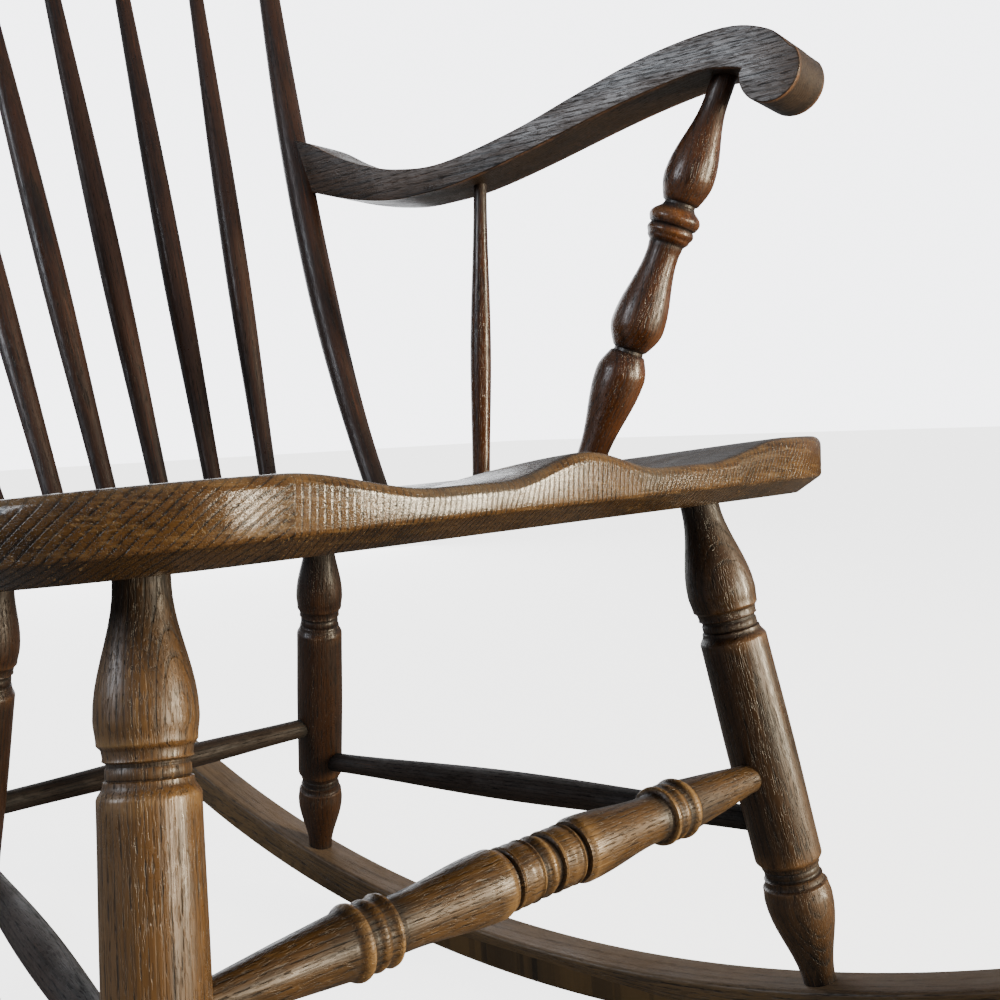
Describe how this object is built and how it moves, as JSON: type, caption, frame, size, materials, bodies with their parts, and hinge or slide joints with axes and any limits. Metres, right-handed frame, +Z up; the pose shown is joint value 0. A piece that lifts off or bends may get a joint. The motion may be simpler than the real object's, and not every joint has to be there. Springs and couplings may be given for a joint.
{
  "type": "rocking chair",
  "caption": "Wooden rocking chair with a saddle seat, turned legs and stretchers on two bowed rockers, a spindle back and scrolled arms on turned posts.",
  "frame": {"origin": "on the floor, under the middle of the chair's bounding box", "axes": "+Z up, -Y the way the chair faces, +X the sitter's left"},
  "size_m": [0.6174, 0.824, 0.9849],
  "materials": {
    "oak_seat": "stained and varnished, worn at the front edge",
    "oak_legs": "stained and varnished, satin",
    "oak_front_stretcher": "stained and varnished, rubbed light on the beads",
    "oak_plain_stretchers": "stained and varnished, satin",
    "oak_back": "dark stain, satin varnish",
    "oak_arms": "stained and varnished, rubbed at the scrolls",
    "oak_arm_turnings": "dark red-brown stain, glossy varnish",
    "oak_rockers": "worn varnish, dusty on top",
    "screw_steel": "darkened steel"
  },
  "bodies": {
    "root": {"arm_left": "oak_arms", "arm_post_left": "oak_arm_turnings", "arm_post_right": "oak_arm_turnings", "arm_right": "oak_arms", "arm_screw_left": "screw_steel", "arm_screw_right": "screw_steel", "arm_spindle_left": "oak_arm_turnings", "arm_spindle_right": "oak_arm_turnings", "back_post_left": "oak_back", "back_post_right": "oak_back", "back_spindle_1": "oak_back", "back_spindle_2": "oak_back", "back_spindle_3": "oak_back", "back_spindle_4": "oak_back", "back_spindle_5": "oak_back", "crest_rail": "oak_back", "leg_front_left": "oak_legs", "leg_front_right": "oak_legs", "leg_rear_left": "oak_legs", "leg_rear_right": "oak_legs", "rocker_left": "oak_rockers", "rocker_right": "oak_rockers", "seat": "oak_seat", "stretcher_front": "oak_front_stretcher", "stretcher_rear": "oak_plain_stretchers", "stretcher_side_left": "oak_plain_stretchers", "stretcher_side_right": "oak_plain_stretchers"}
  },
  "joints": []
}
